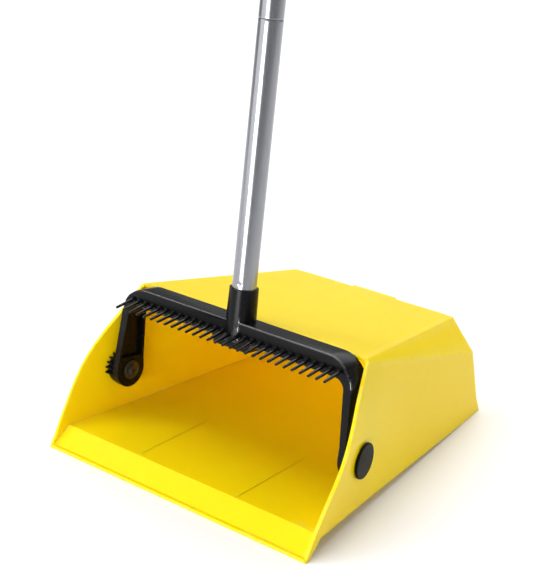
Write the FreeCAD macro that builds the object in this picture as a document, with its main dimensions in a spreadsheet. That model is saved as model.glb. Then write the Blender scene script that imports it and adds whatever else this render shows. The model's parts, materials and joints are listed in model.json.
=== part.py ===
import FreeCAD, Part
import math
import os
import Sketcher
from FreeCAD import Placement, Rotation, Vector

# Upright dustpan with a comb and a screw-together pole, in millimetres.
# Origin: on the floor, under the middle of the lip. +X to the pan's right seen from behind the pole,
# +Y from the lip to the back wall, +Z up. The pole rests against the pan's top front edge.

SIZES = {
    # pan, outside
    "lip_half": 134.3, "pan_depth": 268.0, "wall": 2.6,
    "mouth_top_y": 97.0, "mouth_top_z": 117.0, "mouth_radius": 585.0,
    "back_top_y": 258.5, "back_top_z": 84.0, "facet_low_y": 262.0, "facet_low_z": 56.0,
    "facet_top_half": 84.0, "ramp_y": 18.7, "ramp_z": 11.0, "lip_land": 3.0, "foot_land": 14.0,
    "nose_y": 1.3, "nose_z": 2.2,
    "wall_taper": 0.1035, "wall_lean": 0.0718, "flare": 8.8, "flare_reach": 110.0,
    "bend_start": 0.40, "bend_peak": 0.53, "bend_end": 0.66,
    "bend_start_share": 0.87, "bend_end_share": 0.90, "corner_r": 6.0, "corner_inside_r": 3.4,
    "rib_x": 51.0, "rib_w": 1.6, "rib_h": 1.0, "rib_len": 96.0,
    "tab_w": 46.0, "tab_h": 12.0, "tab_out": 3.0,
    # pivots
    "pivot_y": 75.6, "pivot_z": 46.2, "wall_x": 126.75,
    "wall_turn": 11.0, "wall_tip": 2.9, "spindle_r": 6.0, "run_gap": 0.05, "cap_r": 14.0, "cap_t": 2.2,
    "spindle_end": 114.3, "washer_t": 1.0, "washer_r": 8.0, "screw_r": 1.9, "screw_len": 11.0,
    "screw_head_r": 4.5, "screw_head_t": 2.4, "spacer_r": 14.3, "spacer_face": 120.8,
    "spacer_tooth": 3.2, "stop_teeth": 5, "stop_turn": 118.0, "stop_spread": 60.0,
    "recess_len": 4.8, "recess_w": 1.0, "recess_deep": 1.4,
    # yoke, in its own upright frame: Z along the pole from the pivot axis, Y towards the back
    "lean": 11.0, "arm_out_low": 120.3, "arm_out": 117.5, "arm_in_low": 114.6, "arm_in": 110.2,
    "bar_low": 59.5, "bar_top": 75.0, "bar_front": 12.0, "bar_back": 7.1, "arm_end_r": 15.0,
    "corner_out": 24.0, "corner_in": 9.0, "skin": 2.4, "bend_low": 6.0, "bend_high": 48.0, "inner_low": 9.0,
    "gusset_low": 53.5, "gusset_low_half": 17.0, "gusset_half": 20.5, "back_shoulder": 57.5,
    "front_shoulder": 54.5, "recess_low": 12.0, "recess_high": 51.0,
    "cell_count": 4, "cell_start": 14.0, "cell_pitch": 21.0, "cell_wall": 1.8,
    "pole_y": 2.0, "collar_top": 100.0, "collar_r": 11.3, "collar_foot_r": 12.2, "socket_floor": 69.5,
    # comb
    "teeth": 29, "pitch": 7.55, "tooth_r": 1.4, "tooth_hole_r": 1.45, "tooth_tip_r": 1.1, "tooth_drop": 13.0,
    "tooth_out": 19.6, "tooth_z": 65.0, "strip_t": 2.7, "boss_r": 2.4, "boss_h": 0.9,
    # pole
    "tube_r": 9.5, "tube_t": 0.7, "joint_1": 301.0, "joint_2": 572.0, "tube_top": 862.0,
    "tube_edge": 0.5, "plug_len": 32.0, "stud_r": 5.4, "stud_len": 18.0, "stub_len": 24.0,
    "dimple_r": 4.0, "dimple_deep": 0.4, "dimple_z": 104.0, "dimple_turn": 15.0,
    "grip_low": 767.0, "grip_top": 880.0, "grip_r": 11.8, "hang_r": 4.5, "hang_z": 868.5,
    "flutes": 12, "flute_r": 2.0, "flute_deep": 0.7, "crown_r": 8.0,
    "clip_z": 624.0, "clip_h": 21.0, "clip_wall": 3.0, "hook_x": 25.5, "hook_r": 9.6,
    "web_w": 14.0, "throat_w": 14.0,
}

doc = FreeCAD.newDocument("Dustpan")
sheet = doc.addObject("Spreadsheet::Sheet", "Sizes")
for row, (alias, value) in enumerate(SIZES.items(), start=1):
    sheet.set("A%d" % row, alias)
    sheet.set("B%d" % row, str(value))
    sheet.setAlias("B%d" % row, alias)
doc.recompute()

parts = {}


def size(name):
    """A driving dimension, read back from the sheet."""
    return float(sheet.get(name))


def term(value):
    """A coordinate: a plain number, or a size's name with an optional minus, as (number, expression)."""
    if not isinstance(value, str):
        return float(value), None
    name = value.lstrip("-")
    sign = "-" if value.startswith("-") else ""
    return float(sign + "1") * size(name), sign + "Sizes." + name


def bind(obj, **properties):
    """Sets each property to an expression on the sheet."""
    for name, expression in properties.items():
        obj.setExpression(name, expression)


def new_body(label):
    body = doc.addObject("PartDesign::Body", label)
    body.Label = label
    parts[label] = body
    return body


def flat_sketch(body, name, plane, offset=None):
    """An empty sketch on one of the body's own origin planes."""
    sketch = body.newObject("Sketcher::SketchObject", name)
    face = [f for f in body.Origin.OriginFeatures if f.Role == plane][0]
    sketch.AttachmentSupport = [(face, "")]
    sketch.MapMode = "FlatFace"
    if offset is not None:
        sketch.AttachmentOffset = offset
    return sketch


def outline(sketch, points, bulges=None):
    """A closed outline through the points. bulges maps an edge's index to the point that its arc passes."""
    bulges = bulges or {}
    spots = [(term(x), term(y)) for x, y in points]
    ends = []
    for i, spot in enumerate(spots):
        after = spots[(i + 1) % len(spots)]
        a = Vector(spot[0][0], spot[1][0], 0)
        b = Vector(after[0][0], after[1][0], 0)
        if i in bulges:
            middle = Vector(bulges[i][0], bulges[i][1], 0)
            anticlockwise = (middle - a).cross(b - a).z > 0
            arc = Part.Arc(a, middle, b) if anticlockwise else Part.Arc(b, middle, a)
            index = sketch.addGeometry(arc, False)
            ends.append((index, 1, 2) if anticlockwise else (index, 2, 1))
            sketch.addConstraint(Sketcher.Constraint("Radius", index, sketch.Geometry[index].Radius))
        else:
            index = sketch.addGeometry(Part.LineSegment(a, b), False)
            ends.append((index, 1, 2))
    for i, (index, start, end) in enumerate(ends):
        after = ends[(i + 1) % len(ends)]
        sketch.addConstraint(Sketcher.Constraint("Coincident", index, end, after[0], after[1]))
    for (index, start, end), (x, y) in zip(ends, spots):
        for kind, (value, expression) in (("DistanceX", x), ("DistanceY", y)):
            number = sketch.addConstraint(Sketcher.Constraint(kind, -1, 1, index, start, value))
            if expression:
                sketch.setExpression("Constraints[%d]" % number, expression)
    return sketch


def circle(sketch, x, y, radius):
    """A circle whose centre and radius may be sizes."""
    centre = (term(x), term(y))
    radius_value, radius_expression = term(radius)
    spot = Vector(centre[0][0], centre[1][0], 0)
    index = sketch.addGeometry(Part.Circle(spot, Vector(0, 0, 1), radius_value), False)
    number = sketch.addConstraint(Sketcher.Constraint("Radius", index, radius_value))
    if radius_expression:
        sketch.setExpression("Constraints[%d]" % number, radius_expression)
    for kind, (value, expression) in (("DistanceX", centre[0]), ("DistanceY", centre[1])):
        number = sketch.addConstraint(Sketcher.Constraint(kind, -1, 1, index, 3, value))
        if expression:
            sketch.setExpression("Constraints[%d]" % number, expression)
    return sketch


def pad(body, sketch, name, length, midplane=False, reversed_=False):
    feature = body.newObject("PartDesign::Pad", name)
    feature.Profile = sketch
    feature.Midplane = midplane
    feature.Reversed = reversed_
    feature.setExpression("Length", length)
    return feature


def pocket(body, sketch, name, length, midplane=False, reversed_=False):
    """A pocket that is checked to have removed material."""
    doc.recompute()
    before = body.Shape.Volume
    feature = body.newObject("PartDesign::Pocket", name)
    feature.Profile = sketch
    feature.Midplane = midplane
    feature.Reversed = reversed_
    feature.setExpression("Length", length)
    doc.recompute()
    if not body.Shape.Volume < before - 1e-3:
        raise RuntimeError("%s cuts nothing: %s" % (name, feature.getStatusString()))
    return feature


def primitive(body, kind, name, place, **properties):
    """A PartDesign box, cylinder, cone or sphere of the body, at a place of its own."""
    feature = body.newObject("PartDesign::" + kind, name)
    bind(feature, **properties)
    feature.Placement = place
    return feature


def turned(label, points):
    """A round piece: the outline of (radius, height) points turned about Z."""
    body = new_body(label)
    sketch = outline(flat_sketch(body, label + "_profile", "XZ_Plane"), points)
    spin = body.newObject("PartDesign::Revolution", label + "_turned")
    spin.Profile = sketch
    spin.ReferenceAxis = (sketch, ["V_Axis"])
    spin.Angle = 360.0
    doc.recompute()
    return body


def fillet(body, name, radius, wanted):
    """Rounds every edge of the body's present shape for which wanted(edge) holds."""
    doc.recompute()
    base = body.Tip
    edges = ["Edge%d" % i for i, e in enumerate(base.Shape.Edges, start=1) if wanted(e)]
    if not edges:
        raise RuntimeError("%s has no edges" % name)
    feature = body.newObject("PartDesign::Fillet", name)
    feature.Base = (base, edges)
    feature.setExpression("Radius", radius)
    doc.recompute()
    if "Invalid" in feature.State or feature.Shape.isNull() or not feature.Shape.isValid():
        raise RuntimeError("%s failed" % name)
    return feature


def plane_frame(origin, normal):
    """The placement that puts local +Z along normal at origin."""
    return Placement(origin, Rotation(Vector(0, 0, 1), normal))


# ---- pan -------------------------------------------------------------------------------------------
# The side walls are flat at the back. Towards the mouth they flare: in each plane parallel to the
# mouth the wall bends outward at mid height, and the bend grows as the square of the way forward.

mouth_angle = math.atan2(size("mouth_top_z"), size("mouth_top_y"))
roof_slope = (size("mouth_top_z") - size("back_top_z")) / (size("back_top_y") - size("mouth_top_y"))


def roof_distance(reach, drop):
    """How far up a plane parallel to the mouth, reach behind it, the roof lies, lowered by drop."""
    rise = size("mouth_top_z") - drop + roof_slope * (size("mouth_top_y") - reach)
    return rise / (math.sin(mouth_angle) + roof_slope * math.cos(mouth_angle))


def wall_half(reach, along, inset):
    """Half the pan's width on the flat wall, at a place given in a plane parallel to the mouth."""
    y = reach + along * math.cos(mouth_angle)
    z = along * math.sin(mouth_angle)
    square = math.sqrt(1 + size("wall_taper") ** 2 + size("wall_lean") ** 2)
    return size("lip_half") - size("wall_taper") * y - size("wall_lean") * z - inset * square


def wall_section(body, name, reach, inset):
    """One section of the pan, in a plane parallel to the mouth and reach behind it."""
    over = 1.0
    low = -over
    high = roof_distance(reach, 0) + over
    bulge = size("flare") * max(0.0, 1 - reach / size("flare_reach")) ** 2
    # up each side: a straight lower wall, a soft bend at mid height, a straight upper wall
    bend_low, bend_middle, bend_high = (low + size(share) * (high - low)
                                       for share in ("bend_start", "bend_peak", "bend_end"))
    half = {along: wall_half(reach, along, inset) for along in (low, bend_low, bend_middle, bend_high, high)}
    spots = [(half[low], low),
             (half[bend_low] + size("bend_start_share") * bulge, bend_low),
             (half[bend_high] + size("bend_end_share") * bulge, bend_high),
             (half[high], high)]
    # the middle is never quite in line with the ends, so the bend stays an arc where there is no flare
    bend = (half[bend_middle] + bulge + 0.02, bend_middle)
    turn = Rotation(Vector(1, 0, 0), math.degrees(mouth_angle) - 90)
    offset = Placement(Vector(0, 0, -reach), turn)
    sketch = flat_sketch(body, name, "XZ_Plane", offset)
    around = spots + [(-x, along) for x, along in reversed(spots)]
    return outline(sketch, around, {1: bend, 5: (-bend[0], bend[1])})


def pan_solid(label, inset, side_points, side_bulges, ahead):
    """The pan's outside, or its inside when inset is the wall: sections, then the side outline."""
    body = new_body(label)
    steps = [-ahead] + [share * size("flare_reach") for share in (0, 0.25, 0.5, 0.75, 1)]
    front = [wall_section(body, "%s_section_%d" % (label, i), reach, inset)
             for i, reach in enumerate(steps)]
    flared = body.newObject("PartDesign::AdditiveLoft", label + "_flared")
    flared.Profile = front[0]
    flared.Sections = front[1:]
    flared.Ruled = False
    rear = [wall_section(body, label + "_section_rear", size("flare_reach"), inset),
            wall_section(body, label + "_section_end", size("pan_depth") + 30, inset)]
    straight = body.newObject("PartDesign::AdditiveLoft", label + "_straight")
    straight.Profile = rear[0]
    straight.Sections = rear[1:]
    straight.Ruled = True
    doc.recompute()
    # everything outside the side outline goes: a frame around the outline, cut right across
    side = flat_sketch(body, label + "_side", "YZ_Plane")
    outline(side, [(-250, -250), (750, -250), (750, 450), (-250, 450)])
    outline(side, side_points, side_bulges)
    pocket(body, side, label + "_outside", "800 mm", midplane=True)
    # the two sloping facets at the back: a box laid on the plane through three of its corners
    for sign, hand in ((1, "right"), (-1, "left")):
        apex = Vector(sign * wall_half(0, roof_distance(0, 0), 0), size("mouth_top_y"), size("mouth_top_z"))
        top = Vector(sign * size("facet_top_half"), size("back_top_y"), size("back_top_z"))
        low_half = size("lip_half") - size("wall_taper") * size("facet_low_y")
        low_half -= size("wall_lean") * size("facet_low_z")
        low = Vector(sign * low_half, size("facet_low_y"), size("facet_low_z"))
        normal = (top - apex).cross(low - apex).normalize()
        if normal.z < 0:
            normal = -normal
        place = plane_frame(top - normal * inset, normal)
        place = place.multiply(Placement(Vector(-300, -300, 0), Rotation()))
        primitive(body, "SubtractiveBox", "%s_facet_%s" % (label, hand), place,
                  Length="600 mm", Width="600 mm", Height="200 mm")
    doc.recompute()
    return body


# side outline: lip land, nose, mouth, roof, back wall, foot land, raised underside
mouth_low = Vector(-size("nose_y"), size("nose_z"), 0)
lean_turn = math.radians(size("lean"))
edge_drop = size("wall") * 1.04
mouth_high = Vector(size("mouth_top_y") - edge_drop * math.sin(lean_turn),
                    size("mouth_top_z") - edge_drop * math.cos(lean_turn), 0)
chord = (mouth_high - mouth_low).Length
sag = size("mouth_radius") - math.sqrt(size("mouth_radius") ** 2 - (chord / 2) ** 2)
across = Vector(-(mouth_high.y - mouth_low.y), mouth_high.x - mouth_low.x, 0).normalize()
mouth_middle = (mouth_low + mouth_high) * 0.5 + across * sag
outer_points = [(-0.8, 0), ("lip_land", 0), ("ramp_y", "ramp_z"),
                (size("pan_depth") - size("foot_land"), 0), ("pan_depth", 0),
                ("back_top_y", "back_top_z"), ("mouth_top_y", "mouth_top_z"), (mouth_high.x, mouth_high.y),
                ("-nose_y", "nose_z")]
pan_block = pan_solid("pan_block", 0.0, outer_points, {7: (mouth_middle.x, mouth_middle.y)}, 12.0)

# inside: the same walls moved in by the wall's thickness, open through the mouth
wall = size("wall")
roof_turn = math.atan(roof_slope)
floor_slope = size("ramp_z") / (size("pan_depth") - size("foot_land") - size("ramp_y"))
crease_y = size("ramp_y") + 0.4
crease_z = size("ramp_z") + wall
nose_line = (size("nose_z") - crease_z) / (-size("nose_y") - crease_y)
ahead_y = -30.0
inner_back = size("pan_depth") - wall - 0.4
inner_low = crease_z - floor_slope * (size("pan_depth") - size("foot_land") - crease_y)
inner_roof_mouth = size("mouth_top_z") - wall / math.cos(roof_turn)
inner_top_y = size("back_top_y") - wall
inner_top_z = size("back_top_z") - wall / math.cos(roof_turn) + roof_slope * wall
inner_points = [(crease_y, crease_z), (size("pan_depth") - size("foot_land"), inner_low),
                (inner_back, wall), (inner_top_y, inner_top_z), ("mouth_top_y", inner_roof_mouth),
                (ahead_y, inner_roof_mouth + roof_slope * (size("mouth_top_y") - ahead_y)),
                (ahead_y, crease_z + nose_line * (ahead_y - crease_y))]
pan_hollow = pan_solid("pan_hollow", wall, inner_points, {}, 16.0)

# two low ribs on the floor: left standing by taking their shape out of the hollow
for sign, hand in ((1, "right"), (-1, "left")):
    slope = Rotation(Vector(1, 0, 0), -math.degrees(math.atan(floor_slope)))
    corner = Vector(sign * size("rib_x") - size("rib_w") / 2, crease_y, crease_z - 0.6)
    primitive(pan_hollow, "SubtractiveBox", "rib_" + hand, Placement(corner, slope),
              Length="Sizes.rib_w", Width="Sizes.rib_len", Height="Sizes.rib_h + 0.6")
doc.recompute()


def near_vertical_back(edge):
    """The upright edges at the back, where the back wall meets the side walls."""
    box = edge.BoundBox
    return box.YMin > 200 and box.XMax * box.XMin > 0 and box.ZLength > 20


for body, radius in ((pan_block, "Sizes.corner_r"), (pan_hollow, "Sizes.corner_inside_r")):
    fillet(body, body.Label + "_back_corners", radius, near_vertical_back)

# the raised tab at the middle of the back wall's top edge
primitive(pan_block, "AdditiveBox", "back_tab",
          Placement(Vector(-size("tab_w") / 2, size("back_top_y") - 2,
                           size("back_top_z") - size("tab_h")), Rotation()),
          Length="Sizes.tab_w", Width="Sizes.tab_out + 3", Height="Sizes.tab_h + 0.6")
# the pivot holes, straight across both walls
primitive(pan_block, "SubtractiveCylinder", "pivot_holes",
          Placement(Vector(-200, size("pivot_y"), size("pivot_z")), Rotation(Vector(0, 1, 0), 90)),
          Radius="Sizes.spindle_r + 0.1", Height="400 mm")
doc.recompute()
pan_shell = doc.addObject("Part::Cut", "pan_shell")
pan_shell.Base = pan_block
pan_shell.Tool = pan_hollow
pan_shell.Label = "pan_shell"
doc.recompute()
del parts["pan_block"], parts["pan_hollow"]
parts["pan_shell"] = pan_shell

# ---- pivots ----------------------------------------------------------------------------------------
# Each side has a cap and spindle pushed in from outside, a spacer inside the wall whose rim carries a
# few stop teeth, and a screw and washer that hold the yoke's arm on the spindle. The right side is
# made and then mirrored.

pivot = Vector(0, size("pivot_y"), size("pivot_z"))
along_x = Rotation(Vector(0, 1, 0), 90)
wall_back = math.tan(math.radians(size("wall_turn")))
wall_down = math.tan(math.radians(size("wall_tip")))
wall_normal = Vector(1, wall_back, -wall_down)


def mirrored_part(label, source):
    """The left-hand twin of a right-hand piece."""
    twin = doc.addObject("Part::Mirroring", label)
    twin.Source = source
    twin.Normal = Vector(1, 0, 0)
    twin.Base = Vector(0, 0, 0)
    twin.Label = label
    parts[label] = twin
    return twin


def pair_part(label, source):
    """One node that holds a right-hand fastener and its left-hand twin."""
    twin = doc.addObject("Part::Mirroring", label + "_twin")
    twin.Source = source
    twin.Normal = Vector(1, 0, 0)
    both = doc.addObject("Part::Compound", label)
    both.Links = [source, twin]
    both.Label = label
    parts[label] = both
    return both


def on_axis(x):
    """Local +Z along +X, at x on the pivot axis."""
    return Placement(Vector(x, pivot.y, pivot.z), along_x)


cap = new_body("right_pivot_cap")
cap_place = plane_frame(Vector(size("wall_x"), pivot.y, pivot.z), wall_normal)
disc_place = cap_place.multiply(Placement(Vector(0, 0, 0.35), Rotation()))
primitive(cap, "AdditiveCylinder", "cap_disc", disc_place, Radius="Sizes.cap_r", Height="Sizes.cap_t")
primitive(cap, "AdditiveCylinder", "cap_spindle", on_axis(size("spindle_end")),
          Radius="Sizes.spindle_r", Height="Sizes.wall_x + 0.8 - Sizes.spindle_end")
fillet(cap, "cap_edge", "0.8 mm", lambda e: abs(e.Length - 2 * math.pi * size("cap_r")) < 0.1
       and e.BoundBox.Center.x > size("wall_x") + 1.2)
primitive(cap, "SubtractiveCylinder", "cap_pilot", on_axis(size("spindle_end") - 1),
          Radius="Sizes.screw_r + 0.02", Height="Sizes.screw_len - 1.4")
doc.recompute()
mirrored_part("left_pivot_cap", cap)

spacer = new_body("right_toothed_spacer")
primitive(spacer, "AdditiveCylinder", "spacer_core", on_axis(size("spacer_face")),
          Radius="Sizes.spacer_r", Height="10 mm")
first_tooth = Rotation(Vector(0, 0, 1), size("stop_turn"))
tooth_sketch = flat_sketch(spacer, "spacer_tooth_profile", "YZ_Plane",
                           Placement(Vector(pivot.y, pivot.z, size("spacer_face")), first_tooth))
spacer_rim = size("spacer_r") - 0.6
outline(tooth_sketch, [(spacer_rim, -1.6), (size("spacer_r") + size("spacer_tooth"), -0.55),
                       (size("spacer_r") + size("spacer_tooth"), 0.55), (spacer_rim, 1.6)])
tooth = pad(spacer, tooth_sketch, "spacer_tooth", "10 mm")
doc.recompute()
ring = spacer.newObject("PartDesign::PolarPattern", "spacer_teeth")
ring.Originals = [tooth]
ring.Axis = (tooth_sketch, ["N_Axis"])
ring.Angle = size("stop_spread")
ring.Occurrences = int(size("stop_teeth"))
spacer.Tip = ring
doc.recompute()
# the side towards the wall is cut to the wall's slope
inner_wall = cap_place.multiply(Placement(Vector(-40, -40, -size("wall") - 0.5), Rotation()))
primitive(spacer, "SubtractiveBox", "spacer_slope", inner_wall,
          Length="80 mm", Width="80 mm", Height="30 mm")
primitive(spacer, "SubtractiveCylinder", "spacer_bore", on_axis(size("spacer_face") - 5),
          Radius="Sizes.spindle_r + 0.05", Height="30 mm")
doc.recompute()
mirrored_part("left_toothed_spacer", spacer)

washer = new_body("pivot_washer_right")
primitive(washer, "AdditiveCylinder", "washer_disc", on_axis(size("spindle_end") - size("washer_t")),
          Radius="Sizes.washer_r", Height="Sizes.washer_t")
primitive(washer, "SubtractiveCylinder", "washer_hole", on_axis(size("spindle_end") - 3),
          Radius="Sizes.screw_r + 0.2", Height="6 mm")
screw = new_body("pivot_screw_right")
head_x = size("spindle_end") - size("washer_t") - size("screw_head_t")
primitive(screw, "AdditiveCylinder", "screw_head", on_axis(head_x),
          Radius="Sizes.screw_head_r", Height="Sizes.screw_head_t")
primitive(screw, "AdditiveCylinder", "screw_shank", on_axis(head_x + 1),
          Radius="Sizes.screw_r", Height="Sizes.screw_len")
# cross recess
for name, turn in (("slot_up", 0), ("slot_across", 90)):
    place = on_axis(head_x - 1).multiply(Placement(Vector(), Rotation(Vector(0, 0, 1), turn)))
    place = place.multiply(Placement(Vector(-size("recess_len") / 2, -size("recess_w") / 2, 0), Rotation()))
    primitive(screw, "SubtractiveBox", name, place, Length="Sizes.recess_len", Width="Sizes.recess_w",
              Height="Sizes.recess_deep + 1")
doc.recompute()
del parts["pivot_washer_right"], parts["pivot_screw_right"]
pair_part("pivot_washers", washer)
pair_part("pivot_screws", screw)
doc.recompute()

# ---- yoke ------------------------------------------------------------------------------------------
# Made upright: Z up the pole from the pivot axis, Y towards the back. The body's placement leans it.

lean_place = Placement(pivot, Rotation(Vector(1, 0, 0), -size("lean")))
bar_low = size("bar_low")
bar_top = size("bar_top")
yoke = new_body("yoke")
front = flat_sketch(yoke, "yoke_front", "XZ_Plane")
corner_out = size("corner_out")
corner_in = size("corner_in")
diagonal = 1 - math.sqrt(0.5)
arm_foot = -size("arm_end_r") - 1
half_front = [("arm_in_low", arm_foot), ("arm_out_low", arm_foot), ("arm_out_low", "bend_low"),
              ("arm_out", "bend_high"), ("arm_out", bar_top - corner_out),
              (size("arm_out") - corner_out, "bar_top")]
mirror_front = [("-" + x if isinstance(x, str) else -x, z) for x, z in reversed(half_front)]
inside = [("-arm_in_low", "inner_low"), ("-arm_in", bar_low - corner_in),
          (-size("arm_in") + corner_in, "bar_low"),
          (size("arm_in") - corner_in, "bar_low"), ("arm_in", bar_low - corner_in),
          ("arm_in_low", "inner_low")]
outer_bend = size("arm_out") - corner_out * diagonal
inner_bend = size("arm_in") - corner_in * diagonal
outline(front, half_front + mirror_front + inside,
        {4: (outer_bend, bar_top - corner_out * diagonal),
         6: (-outer_bend, bar_top - corner_out * diagonal),
         13: (-inner_bend, bar_low - corner_in * diagonal),
         15: (inner_bend, bar_low - corner_in * diagonal)})
pad(yoke, front, "yoke_arch", "80 mm", midplane=True)
gusset = flat_sketch(yoke, "gusset_front", "XZ_Plane")
outline(gusset, [("-gusset_low_half", "gusset_low"), ("gusset_low_half", "gusset_low"),
                 ("gusset_half", bar_low + 1), ("-gusset_half", bar_low + 1)])
pad(yoke, gusset, "gusset", "40 mm", midplane=True)
doc.recompute()
side = flat_sketch(yoke, "yoke_side", "YZ_Plane")
end_bend = size("arm_end_r") * math.sqrt(0.5)
outline(side, [(-80, -80), (80, -80), (80, 180), (-80, 180)])
outline(side, [("-bar_front", "bar_top"), ("bar_back", "bar_top"), ("bar_back", "back_shoulder"),
               ("arm_end_r", 0), (0, "-arm_end_r"), ("-arm_end_r", 0), ("-bar_front", "front_shoulder")],
        {3: (end_bend, -end_bend), 4: (-end_bend, -end_bend)})
pocket(yoke, side, "yoke_outside", "400 mm", midplane=True)
# the collar stands a little proud of the bar in front, and is cut flush with its back
primitive(yoke, "AdditiveCone", "collar", Placement(Vector(0, -size("pole_y"), bar_low), Rotation()),
          Radius1="Sizes.collar_foot_r", Radius2="Sizes.collar_r", Height="Sizes.collar_top - Sizes.bar_low")
primitive(yoke, "SubtractiveBox", "collar_back",
          Placement(Vector(-30, size("bar_back"), bar_low - 5), Rotation()),
          Length="60 mm", Width="30 mm", Height="Sizes.bar_top - Sizes.bar_low + 7")
primitive(yoke, "SubtractiveCylinder", "pole_socket",
          Placement(Vector(0, -size("pole_y"), size("socket_floor")), Rotation()),
          Radius="Sizes.tube_r + 0.05", Height="60 mm")
primitive(yoke, "SubtractiveCylinder", "arm_bores", Placement(Vector(-200, 0, 0), along_x),
          Radius="Sizes.spindle_r + Sizes.run_gap", Height="400 mm")
doc.recompute()

# pockets that lighten the yoke: down the inside of each arm, and in the back of the crossbar
arm_skin = size("skin")
arm_rise = size("bend_high") - size("bend_low")
arm_lean = math.degrees(math.atan((size("arm_out_low") - size("arm_out")) / arm_rise))
arm_floor = Placement(Vector(0, 0, size("arm_out_low") + 0.2 - arm_skin), Rotation())
arm_floor = arm_floor.multiply(Placement(Vector(), Rotation(Vector(1, 0, 0), -arm_lean)))
arm_side = flat_sketch(yoke, "arm_recess_outline", "YZ_Plane", arm_floor)
outline(arm_side, [(-11.4, "recess_low"), (11.0, "recess_low"), (6.2, "recess_high"), (-9.4, "recess_high")])
arm_recess = pocket(yoke, arm_side, "arm_recess", "14 mm")
bar_cells = flat_sketch(yoke, "bar_cell_outlines", "XZ_Plane",
                        Placement(Vector(0, 0, -size("bar_back")), Rotation()))
cell_low = bar_low + arm_skin
cell_high = bar_top - arm_skin
for number in range(int(size("cell_count"))):
    near = size("cell_start") + number * size("cell_pitch")
    far = near + size("cell_pitch") - size("cell_wall")
    outline(bar_cells, [(near, cell_low), (far, cell_low), (far, cell_high), (near, cell_high)])
bar_recess = pocket(yoke, bar_cells, "bar_recess", "Sizes.bar_back + Sizes.bar_front - Sizes.skin - 3",
                    reversed_=True)
mirror = yoke.newObject("PartDesign::Mirrored", "recess_twins")
mirror.Originals = [arm_recess, bar_recess]
mirror.MirrorPlane = ([f for f in yoke.Origin.OriginFeatures if f.Role == "YZ_Plane"][0], [""])
yoke.Tip = mirror
doc.recompute()

# slot for the comb's strip behind the bar's front wall, and the holes its teeth come through
tooth_span = (size("teeth") - 1) * size("pitch")
strip_half = tooth_span / 2 + 3
strip_low = size("tooth_z") - 3.2
strip_front = -size("bar_front") + size("skin")
primitive(yoke, "SubtractiveBox", "strip_slot",
          Placement(Vector(-strip_half - 0.3, strip_front, strip_low - 0.2), Rotation()),
          Length="%f mm" % (2 * strip_half + 0.6), Width="Sizes.strip_t + 0.3", Height="7 mm")
tooth_tilt = Rotation(Vector(1, 0, 0), size("tooth_drop"))


def tooth_circles(body, name, ahead, radius):
    """One circle for each tooth, on a plane square to the teeth and ahead of the bar's front face."""
    tilt = tooth_tilt.multVec(Vector(0, 0, ahead))
    offset = Placement(Vector(0, size("tooth_z") + tilt.y, size("bar_front") + tilt.z), tooth_tilt)
    sketch = flat_sketch(body, name, "XZ_Plane", offset)
    for number in range(int(size("teeth"))):
        circle(sketch, number * size("pitch") - tooth_span / 2, 0, radius)
    return sketch


boss_sketch = tooth_circles(yoke, "tooth_boss_circles", -1.5, "boss_r")
pad(yoke, boss_sketch, "tooth_bosses", "Sizes.boss_h + 1.5")
hole_sketch = tooth_circles(yoke, "tooth_hole_circles", 4, "tooth_hole_r")
pocket(yoke, hole_sketch, "tooth_holes", "8 mm")
yoke.Placement = lean_place

comb = new_body("comb_strip")
primitive(comb, "AdditiveBox", "strip",
          Placement(Vector(-strip_half, strip_front, strip_low), Rotation()),
          Length="%f mm" % (2 * strip_half), Width="Sizes.strip_t", Height="6.6 mm")
tooth_length = size("tooth_out") + 3.2
teeth_pad = pad(comb, tooth_circles(comb, "tooth_circles", -3.2, "tooth_r"), "comb_teeth",
                "Sizes.tooth_out + 3.2")
teeth_pad.TaperAngle = -math.degrees(math.atan((size("tooth_r") - size("tooth_tip_r")) / tooth_length))
doc.recompute()
comb.Placement = lean_place

# ---- pole ------------------------------------------------------------------------------------------
# Three tubes end to end. At each joint a socket lies in the lower tube and a stud in the upper one.

tube_inside = size("tube_r") - size("tube_t")
plug_r = tube_inside - 0.02
edge = size("tube_edge")
pole_place = lean_place.multiply(Placement(Vector(0, -size("pole_y"), 0), Rotation()))


def tube_part(label, low, high):
    """A tube whose ends are eased on the outside."""
    body = turned(label, [(tube_inside, low), (size("tube_r") - edge, low), ("tube_r", low + 2 * edge),
                          ("tube_r", high - 2 * edge), (size("tube_r") - edge, high), (tube_inside, high)])
    body.Placement = pole_place
    return body


def socket_part(label, top):
    """The plug with a blind bore that closes a tube's upper end."""
    low = top - size("plug_len")
    bore = size("stud_r") + 0.05
    bore_floor = top - size("stud_len") - 2
    body = turned(label, [(0, low), (plug_r - 1, low), (plug_r, low + 2), (plug_r, top), (bore, top),
                          (bore, bore_floor), (0, bore_floor)])
    body.Placement = pole_place
    return body


def stud_part(label, joint):
    """The plug in a tube's lower end, with the stud that goes down into the socket."""
    top = joint + size("plug_len")
    end = joint - size("stud_len")
    body = turned(label, [(0, end), (size("stud_r") - 1, end), ("stud_r", end + 1), ("stud_r", joint),
                          (plug_r, joint), (plug_r, top - 2), (plug_r - 1, top), (0, top)])
    body.Placement = pole_place
    return body


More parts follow.
